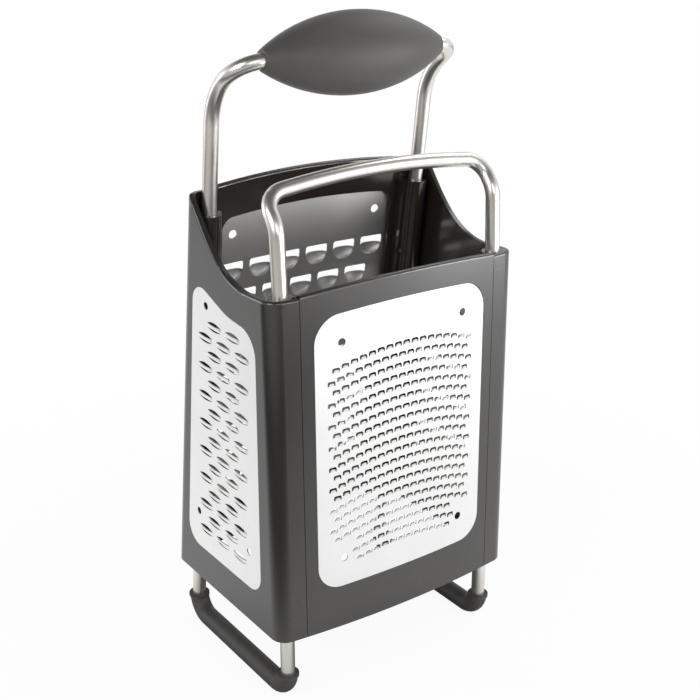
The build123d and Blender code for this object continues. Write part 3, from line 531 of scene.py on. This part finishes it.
# All four sheets have one thickness and one finish, polished outside and dull inside
sheet_thickness = 0.0005
blade_tints = ((0.83, 0.83, 0.825), (0.87, 0.87, 0.865))
blade_gloss, blade_mark_stretch, blade_mark_scale = (0.28, 0.32), (1.0, 1.0, 0.08), 500.0
blade_bump, blade_dull_tint, blade_dull_roughness = 0.015, (0.55, 0.54, 0.52, 1.0), 0.48
blade_steel = steel(
    "blade_steel", blade_tints, blade_gloss, blade_mark_stretch, blade_mark_scale, blade_bump
)
nodes, links = blade_steel.node_tree.nodes, blade_steel.node_tree.links
shader = nodes["Principled BSDF"]
side = nodes.new("ShaderNodeAttribute")
side.attribute_name = "dull_side"
mixed_where(nodes, links, shader, side.outputs["Fac"], "Base Color", blade_dull_tint)
mixed_where(nodes, links, shader, side.outputs["Fac"], "Roughness", blade_dull_roughness)

# The front wall: its place and lean, and how far its middle bows out over the box's width
front_corner_y, front_lean, front_bow = -0.05025, 0.0173, 0.0048
box_half_width, box_bottom = 0.0704, 0.0382

# The sheet's outline, with its top edge crowned, and its four locating holes
fine_half_width, fine_bottom, fine_top, fine_corner = 0.049, 0.0603, 0.1987, 0.0125
fine_edge_step, fine_crown_middle, fine_crown_radius = 0.0015, 0.13, 0.5
fine_hole_radius, fine_hole_reach, fine_hole_low, fine_hole_high = 0.002, 0.035, 0.0752, 0.1838

# One opening and its tongue, which narrows, rounds off and flattens towards its tip
fine_slot_half, fine_slot_height, fine_slot_corner = 0.00205, 0.0023, 0.0009
fine_slot_foot, fine_slot_step = 0.0002, 0.0004
fine_tongue_half, fine_tongue_height, fine_tongue_rise = 0.00132, 0.00140, 0.00040
fine_tongue_narrowing, fine_tongue_rounding, fine_tongue_hollow = 0.12, 0.30, 0.35
fine_tongue_columns, fine_tongue_rows = 6, 4

# The rows: each is an arc, and the lowest three are short
fine_tooth_pitch, fine_row_pitch, fine_row_count, fine_tooth_count = 0.00485, 0.0053, 20, 17
fine_row_arc, fine_first_row, fine_shift = 0.133, 0.1755, 0.00065
fine_full_rows, fine_short_row_reach = 17, 0.030

fine_places = []
for row in range(fine_row_count):
    for tooth in range(fine_tooth_count):
        column = tooth - (fine_tooth_count - 1) / 2 - (row % 2) / 2
        x = fine_shift + column * fine_tooth_pitch
        arch_drop = fine_row_arc - math.sqrt(fine_row_arc**2 - x**2)
        y = fine_first_row - row * fine_row_pitch - arch_drop
        if row < fine_full_rows or abs(x) < fine_short_row_reach:
            fine_places.append((x, y))


def on_front_wall(points):
    """Sets flat points (across, up, out) on the front wall, which bows and leans."""
    x, up, out = points.T
    arc = (box_half_width**2 + front_bow**2) / (2 * front_bow)
    stretch = math.sqrt(1 + front_lean**2)
    behind = arc - np.sqrt(arc**2 - x**2) - front_bow - out
    floor_y = front_corner_y - box_bottom * front_lean
    y = floor_y + (up * front_lean + behind) / stretch
    return np.stack([x, y, (up - behind * front_lean) / stretch], 1)


fine_loop = rounded_loop(
    [
        (-fine_slot_half, 0.0),
        (-fine_slot_half, fine_slot_height),
        (fine_slot_half, fine_slot_height),
        (fine_slot_half, 0.0),
    ],
    [fine_slot_foot, fine_slot_corner, fine_slot_corner, fine_slot_foot],
    fine_slot_step,
)
fine_opening = closed_loops("fine_opening", [fine_loop])
fine_tooth = raised_tongue(
    "fine_tooth",
    fine_tongue_columns,
    fine_tongue_rows,
    lambda across, up: (
        across * fine_tongue_half * (1 - fine_tongue_narrowing * up**3),
        fine_tongue_height * up * (1 - fine_tongue_rounding * up * across**4),
        fine_tongue_rise * up * (1 - fine_tongue_hollow * across**2),
    ),
)
fine_hole_loops = [
    round_hole(x, y, fine_hole_radius)
    for x in (-fine_hole_reach, fine_hole_reach)
    for y in (fine_hole_low, fine_hole_high)
]
fine_holes = closed_loops("fine_holes", fine_hole_loops)
fine_edge = rounded_loop(
    [
        (-fine_half_width, fine_bottom),
        (fine_half_width, fine_bottom),
        (fine_half_width, fine_top),
        (-fine_half_width, fine_top),
    ],
    [fine_corner] * 4,
    fine_edge_step,
)
fine_outline = closed_loops(
    "fine_outline", [crowned(fine_edge, fine_crown_middle, fine_crown_radius)]
)
fine_blade = stamp_blade(
    "fine_blade_sheet", fine_places, fine_outline, fine_holes, fine_opening, fine_tooth,
    on_front_wall,
)
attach(fine_blade, "front_insert")
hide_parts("fine_blade")


# The ribbon blade: a flat stainless sheet in the left frame, with wide low hoods in rows
# of two and three. The press raises each hood as a low bridge between two slits, the
# upper one wider, and its upper edge cuts the ribbons.

# One hood: its half length, the slits above and below it, and how far it stands out
ribbon_half, ribbon_slit, ribbon_drop, ribbon_low_gap = 0.00625, 0.0013, 0.0021, 0.0011
ribbon_rise, ribbon_low_rise, ribbon_rise_bend = 0.0009, 0.0002, 0.8
ribbon_rows_in_hood, lens_parts = 5, 12

# The rows, whose middles slant to the rear on the way down
ribbon_row_count, ribbon_first_row, ribbon_row_pitch = 16, 0.1835, 0.00753
ribbon_tooth_pitch, ribbon_middle, ribbon_row_slant = 0.0164, -0.0076, 0.069

# Both side blades' outline and locating holes, as places to the rear and up
side_corners = [
    (-0.0347, 0.0571),
    (0.0359, 0.0571),
    (0.0186, 0.2026),
    (-0.0114, 0.1916),
    (-0.0356, 0.1895),
]
side_radii, side_edge_step = [0.010, 0.010, 0.009, 0.040, 0.013], 0.0012
side_holes, side_hole_radius = ((0.0074, 0.1913), (0.0234, 0.0775), (-0.0249, 0.0768)), 0.0019


def side_loop(flip):
    """The side blades' outline with its one hollow corner, front edge on the left or right."""
    corners = [(flip * y, z) for y, z in side_corners]
    radii = list(side_radii)
    if flip < 0:
        corners.reverse()
        radii.reverse()
    return rounded_loop(corners, radii, side_edge_step)


def on_left_wall(points):
    """Sets flat points on the left frame, seen from outside with the front to the right."""
    across, up, out = points.T
    return np.stack([-box_half_width - out, -across, up], 1)


ribbon_places = []
for row in range(ribbon_row_count):
    z = ribbon_first_row - row * ribbon_row_pitch
    middle = ribbon_middle + (ribbon_first_row - z) * ribbon_row_slant
    teeth = 2 + row % 2
    for tooth in range(teeth):
        ribbon_places.append((-(middle + (tooth - (teeth - 1) / 2) * ribbon_tooth_pitch), z))

# An opening is the lens shape of both slits, with the hood between them
lens = [-1 + 2 * i / lens_parts for i in range(lens_parts + 1)]
ribbon_loop = [(s * ribbon_half, ribbon_slit * (1 - s * s)) for s in reversed(lens)]
ribbon_loop += [(s * ribbon_half, -ribbon_drop - ribbon_low_gap * (1 - s * s)) for s in lens]
ribbon_opening = closed_loops("ribbon_opening", [ribbon_loop])
ribbon_tooth = raised_tongue(
    "ribbon_tooth",
    lens_parts,
    ribbon_rows_in_hood,
    lambda across, up: (
        across * ribbon_half,
        -ribbon_drop * (1 - up),
        (1 - across**2)
        * (ribbon_low_rise + (ribbon_rise - ribbon_low_rise) * up**ribbon_rise_bend),
    ),
)
ribbon_holes = closed_loops(
    "ribbon_holes", [round_hole(-y, z, side_hole_radius) for y, z in side_holes]
)
ribbon_outline = closed_loops("ribbon_outline", [side_loop(-1)])
ribbon_blade = stamp_blade(
    "ribbon_blade_sheet", ribbon_places, ribbon_outline, ribbon_holes, ribbon_opening,
    ribbon_tooth, on_left_wall,
)
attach(ribbon_blade, "grater")
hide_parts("ribbon_blade")


# The slicing blade: a flat stainless sheet in the right frame, with a few wide slots.
# Below each slot the sheet is pressed out into a long lip, whose upper edge is ground
# sharp. Its outline is the ribbon blade's, mirrored.
slicer_half, slicer_slot, slicer_drop, slicer_rise = 0.026, 0.0042, 0.0070, 0.0009
slicer_foot, slicer_corner, slicer_step, slicer_lap = 0.0003, 0.0012, 0.0006, 0.0002
slicer_lip_columns, slicer_lip_rows = 24, 6
slicer_row_count, slicer_first_row, slicer_row_pitch = 5, 0.172, 0.02075
slicer_middle, slicer_row_slant = -0.0055, 0.06


def on_right_wall(points):
    """Sets flat points on the right frame, seen from outside with the front to the left."""
    across, up, out = points.T
    return np.stack([box_half_width + out, across, up], 1)


slicer_places = []
for row in range(slicer_row_count):
    drop = row * slicer_row_pitch
    slicer_places.append((slicer_middle + drop * slicer_row_slant, slicer_first_row - drop))
slicer_loop = rounded_loop(
    [
        (-slicer_half, 0.0),
        (-slicer_half, slicer_slot),
        (slicer_half, slicer_slot),
        (slicer_half, 0.0),
    ],
    [slicer_foot, slicer_corner, slicer_corner, slicer_foot],
    slicer_step,
)
slicer_loop = [
    (x, y if y > slicer_lap else -slicer_drop * (1 - (x / slicer_half) ** 4))
    for x, y in slicer_loop
]
slicer_opening = closed_loops("slicer_opening", [slicer_loop])
slicer_tooth = raised_tongue(
    "slicer_tooth",
    slicer_lip_columns,
    slicer_lip_rows,
    lambda across, up: (
        across * slicer_half,
        -(slicer_drop + slicer_lap) * (1 - across**4) * (1 - up),
        slicer_rise * (1 - across**4) * up,
    ),
)
slicer_holes = closed_loops(
    "slicer_holes", [round_hole(y, z, side_hole_radius) for y, z in side_holes]
)
slicer_outline = closed_loops("slicer_outline", [side_loop(1)])
slicer_blade = stamp_blade(
    "slicer_blade_sheet", slicer_places, slicer_outline, slicer_holes, slicer_opening,
    slicer_tooth, on_right_wall,
)
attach(slicer_blade, "grater")
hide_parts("slicer_blade")


# The coarse blade: a bowed stainless sheet in the rear panel, with big D-shaped openings.
# The lower part of each is drawn out to the rear as a cup, whose straight rim is left
# open and sharp.

# The rear wall, and how much longer it is along its lean than it is high
rear_corner_y, rear_lean, rear_bow = 0.05155, -0.1369, 0.0035
rear_stretch = math.sqrt(1 + rear_lean**2)

# The sheet's outline, with its top edge crowned, and its two upper locating holes
coarse_half_width, coarse_bottom, coarse_top, coarse_corner = 0.0513, 0.059, 0.2289, 0.008
coarse_edge_step, coarse_crown_middle, coarse_crown_radius = 0.0015, 0.15, 0.5
coarse_hole_radius, coarse_hole_reach, coarse_hole_height = 0.0022, 0.0424, 0.2157
coarse_hole_parts = 24

# One opening and its cup, and the rows of six and five
cup_half, cup_open, cup_depth, cup_rise = 0.00645, 0.0046, 0.0105, 0.0026
cup_corner, cup_foot_share, cup_step, cup_lap = 0.0012, 0.93, 0.0006, 0.0001
cup_flat_share, cup_steepness, cup_columns, cup_rows = 0.98, 1.15, 14, 8
coarse_pitch, coarse_row_pitch, coarse_first_top = 0.0168, 0.0154, 0.2008
coarse_row_count, coarse_row_teeth = 9, 6


def on_rear_wall(points):
    """Sets flat points on the rear wall, seen from behind, which bows and leans."""
    x, up, out = points.T
    arc = (box_half_width**2 + rear_bow**2) / (2 * rear_bow)
    behind = rear_bow - (arc - np.sqrt(arc**2 - x**2)) + out
    floor_y = rear_corner_y - box_bottom * rear_lean
    y = floor_y + (up * rear_lean + behind) / rear_stretch
    return np.stack([-x, y, (up - behind * rear_lean) / rear_stretch], 1)


coarse_places = []
for row in range(coarse_row_count):
    teeth = coarse_row_teeth - row % 2
    up = (coarse_first_top - row * coarse_row_pitch) * rear_stretch
    for tooth in range(teeth):
        coarse_places.append(((tooth - (teeth - 1) / 2) * coarse_pitch, up))
cup_loop = rounded_loop(
    [
        (-cup_half, -cup_depth),
        (-cup_half, 0.0),
        (cup_half, 0.0),
        (cup_half, -cup_depth),
    ],
    [cup_half * cup_foot_share, cup_corner, cup_corner, cup_half * cup_foot_share],
    cup_step,
)
coarse_opening = closed_loops("coarse_opening", [cup_loop])


def cup_point(across, up):
    """A point of the cup, which hangs as a bowl from its straight open rim."""
    angle = math.pi / 2 * across
    share = up * up * (3 - 2 * up)
    side = cup_half * (math.sin(angle) * (1 - share) + across * cup_flat_share * share)
    low = -cup_open - (cup_depth - cup_open + cup_lap) * math.cos(angle) * (1 - share)
    swell = math.sin(math.pi / 2 * min(1.0, up * cup_steepness))
    return side, low, cup_rise * swell * math.sqrt(1 - across**2)


coarse_tooth = raised_tongue("coarse_tooth", cup_columns, cup_rows, cup_point)
coarse_hole_loops = [
    round_hole(x, coarse_hole_height * rear_stretch, coarse_hole_radius, coarse_hole_parts)
    for x in (-coarse_hole_reach, coarse_hole_reach)
]
coarse_holes = closed_loops("coarse_holes", coarse_hole_loops)
coarse_edge = rounded_loop(
    [
        (-coarse_half_width, coarse_bottom * rear_stretch),
        (coarse_half_width, coarse_bottom * rear_stretch),
        (coarse_half_width, coarse_top * rear_stretch),
        (-coarse_half_width, coarse_top * rear_stretch),
    ],
    [coarse_corner] * 4,
    coarse_edge_step,
)
coarse_outline = closed_loops(
    "coarse_outline", [crowned(coarse_edge, coarse_crown_middle, coarse_crown_radius)]
)
coarse_blade = stamp_blade(
    "coarse_blade_sheet", coarse_places, coarse_outline, coarse_holes, coarse_opening,
    coarse_tooth, on_rear_wall,
)
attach(coarse_blade, "grater")
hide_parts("coarse_blade")


# The studio: a wide white table, with soft light from both sides and from above. Table
# and room show white, but metal and plastic mirror them dimmer near the floor in front of
# the corner, behind the camera and overhead, as in a real photo studio. Beneath the box the
# table's mirrored glow is darkened as a painted shadow of the box.
def add_math(nodes, links, operation, first, second):
    """A math node on two sockets or numbers, and its result."""
    node = nodes.new("ShaderNodeMath")
    node.operation = operation
    for socket, value in zip(node.inputs, (first, second)):
        if isinstance(value, (int, float)):
            socket.default_value = value
        else:
            links.new(value, socket)
    return node.outputs["Value"]


def ray_kinds(nodes, links):
    """Whether a ray comes straight from the camera, and whether it is a mirrored one."""
    path = nodes.new("ShaderNodeLightPath")
    glossy, passing = path.outputs["Is Glossy Ray"], path.outputs["Is Transmission Ray"]
    return path.outputs["Is Camera Ray"], add_math(nodes, links, "MAXIMUM", glossy, passing)


def along(nodes, links, place, direction, limits, values):
    """A value that changes smoothly with the distance along a direction."""
    toward = nodes.new("ShaderNodeVectorMath")
    toward.operation = "DOT_PRODUCT"
    toward.inputs[1].default_value = direction
    links.new(place, toward.inputs[0])
    return ranged(nodes, links, toward.outputs["Value"], values, limits, smooth=True)


# The room lights the object evenly, shows white, and is mirrored dimmer in two directions
room_tint, room_strength, room_mirror_level = (0.97, 0.985, 1.0, 1.0), 0.42, 0.9
camera_side, camera_side_limits, camera_side_least = (-0.8, -0.6, 0.0), (0.40, 0.92), 0.12
overhead_limits, overhead_least = (0.30, 0.80), 0.12
world = bpy.data.worlds.new("studio")
scene.world = world
world.use_nodes = True
nodes, links = world.node_tree.nodes, world.node_tree.links
from_camera, mirrored = ray_kinds(nodes, links)
way = nodes.new("ShaderNodeTexCoord").outputs["Generated"]
wall = along(nodes, links, way, camera_side, camera_side_limits, (1.0, camera_side_least))
ceiling = along(nodes, links, way, (0.0, 0.0, 1.0), overhead_limits, (1.0, overhead_least))
room_level = add_math(nodes, links, "MULTIPLY", wall, ceiling)
room_level = add_math(nodes, links, "MULTIPLY", room_mirror_level, room_level)
room_level = add_math(nodes, links, "MULTIPLY", mirrored, room_level)
room_level = add_math(nodes, links, "MAXIMUM", from_camera, room_level)
room_light = nodes["Background"]
room_light.inputs["Color"].default_value = room_tint
room_light.inputs["Strength"].default_value = room_strength
room_seen = nodes.new("ShaderNodeBackground")
room_seen.inputs["Color"].default_value = (1.0, 1.0, 1.0, 1.0)
links.new(room_level, room_seen.inputs["Strength"])
room_mix = nodes.new("ShaderNodeMixShader")
links.new(add_math(nodes, links, "MAXIMUM", from_camera, mirrored), room_mix.inputs["Fac"])
links.new(room_light.outputs["Background"], room_mix.inputs[1])
links.new(room_seen.outputs["Background"], room_mix.inputs[2])
links.new(room_mix.outputs["Shader"], nodes["World Output"].inputs["Surface"])

# The table: a matt white that takes the shadow, and a glow that shows it white, with a
# painted shadow of the box in the glow that metal and plastic mirror
table_half = 4.0
corner_side, corner_side_limits, corner_side_least = (-0.82, -0.57, 0.0), (0.08, 0.24), 0.10
beyond_side, beyond_limits, beyond_level = (0.82, 0.57, 0.0), (-0.62, -0.40), 0.85
# Painted shadow: beneath the box, the glow that metal and plastic mirror drops to this level
painted_shadow_limits, painted_shadow_level = (0.05, 0.13), 0.06
far_limits, far_level = (0.75, 1.40), 0.50
shadow_limits, glow_shares = (0.10, 0.45), (0.93, 0.998)
table_mesh = bpy.data.meshes.new("white_table")
table_corners = [(-table_half, -table_half), (table_half, -table_half)]
table_corners += [(table_half, table_half), (-table_half, table_half)]
table_mesh.from_pydata([(x, y, 0) for x, y in table_corners], [], [(0, 1, 2, 3)])
table = bpy.data.objects.new("white_table", table_mesh)
scene.collection.objects.link(table)
table_white, nodes, links, shader = new_material("table_white")
shader.inputs["Base Color"].default_value = (0.9, 0.9, 0.9, 1.0)
shader.inputs["Roughness"].default_value = 0.9
from_camera, mirrored = ray_kinds(nodes, links)
spot = nodes.new("ShaderNodeTexCoord").outputs["Object"]
from_middle = nodes.new("ShaderNodeVectorMath")
from_middle.operation = "LENGTH"
links.new(spot, from_middle.inputs[0])
distance = from_middle.outputs["Value"]
near_side = along(nodes, links, spot, corner_side, corner_side_limits, (1.0, corner_side_least))
far_side = along(nodes, links, spot, beyond_side, beyond_limits, (1.0, 0.0))
far_side = add_math(nodes, links, "MULTIPLY", beyond_level, far_side)
side = add_math(nodes, links, "MAXIMUM", near_side, far_side)
# Painted shadow of the box in the mirrored glow, darkest in the middle beneath it
painted_shadow_fade = ranged(nodes, links, distance, (painted_shadow_level, 1.0), painted_shadow_limits, smooth=True)
reach = ranged(nodes, links, distance, (1.0, far_level), far_limits, smooth=True)
glow_level = add_math(nodes, links, "MULTIPLY", painted_shadow_fade, reach)
glow_level = add_math(nodes, links, "MULTIPLY", side, glow_level)
glow_level = add_math(nodes, links, "MULTIPLY", mirrored, glow_level)
glow_level = add_math(nodes, links, "MAXIMUM", from_camera, glow_level)
table_glow = nodes.new("ShaderNodeEmission")
table_glow.inputs["Color"].default_value = (1.0, 1.0, 1.0, 1.0)
links.new(glow_level, table_glow.inputs["Strength"])
glow_share = ranged(nodes, links, distance, glow_shares, shadow_limits, smooth=True)
seen = add_math(nodes, links, "MAXIMUM", from_camera, mirrored)
table_mix = nodes.new("ShaderNodeMixShader")
links.new(add_math(nodes, links, "MULTIPLY", seen, glow_share), table_mix.inputs["Fac"])
links.new(shader.outputs["BSDF"], table_mix.inputs[1])
links.new(table_glow.outputs["Emission"], table_mix.inputs[2])
links.new(table_mix.outputs["Shader"], nodes["Material Output"].inputs["Surface"])
table_mesh.materials.append(table_white)
table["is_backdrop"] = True

# Soft boxes, each with its place, its width and height, and its power in watts
soft_box_aim = Vector((0.0, 0.0, 0.14))
for name, place, wide, high, power in (
    ("light_left", (-1.05, -0.35, 0.75), 0.7, 0.7, 6.3),
    ("light_right", (0.67, -0.65, 0.18), 0.40, 0.40, 4.2),
    ("light_front_low", (0.32, -0.95, 0.12), 0.30, 0.20, 1.3),
    ("light_front", (-0.35, -1.25, 0.75), 0.7, 0.5, 3.0),
    ("light_rear_left", (-0.85, 0.95, 0.30), 0.5, 0.5, 2.5),
    ("light_high", (0.85, 0.10, 1.15), 0.6, 0.6, 3.5),
):
    lamp = bpy.data.lights.new(name, "AREA")
    lamp.shape = "RECTANGLE"
    lamp.size = wide
    lamp.size_y = high
    lamp.energy = power
    soft_box = bpy.data.objects.new(name, lamp)
    soft_box.location = place
    soft_box.visible_camera = False
    soft_box.rotation_mode = "QUATERNION"
    soft_box.rotation_quaternion = (soft_box_aim - Vector(place)).to_track_quat("-Z", "Y")
    scene.collection.objects.link(soft_box)


# The camera stands at the photograph's own viewpoint, to the left of the front and
# above. Its place and lens come from a perspective fit of the photograph's outlines.
azimuth, elevation, roll = math.radians(-35.62), math.radians(21.19), math.radians(0.084)
aim, camera_distance = Vector((0.0064, 0.00065, 0.1554)), 0.615
photo_size_px, focal_length_px, centre_shift_px = 700.0, 1225.0, (0.5, -2.0)
sensor_width_mm = 36.0
back = Vector(
    (
        math.sin(azimuth) * math.cos(elevation),
        -math.cos(azimuth) * math.cos(elevation),
        math.sin(elevation),
    )
)
camera_data = bpy.data.cameras.new("camera")
camera = bpy.data.objects.new("camera", camera_data)
scene.collection.objects.link(camera)
camera.location = aim + back * camera_distance
camera.rotation_mode = "QUATERNION"
camera.rotation_quaternion = (-back).to_track_quat("-Z", "Y") @ Quaternion((0, 0, 1), roll)
camera_data.sensor_width = sensor_width_mm
camera_data.lens = focal_length_px / photo_size_px * sensor_width_mm
camera_data.shift_x = centre_shift_px[0] / photo_size_px
camera_data.shift_y = centre_shift_px[1] / photo_size_px
camera_data.clip_start = 0.01
scene.camera = camera
scene.view_settings.view_transform = "Standard"

low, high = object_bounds()
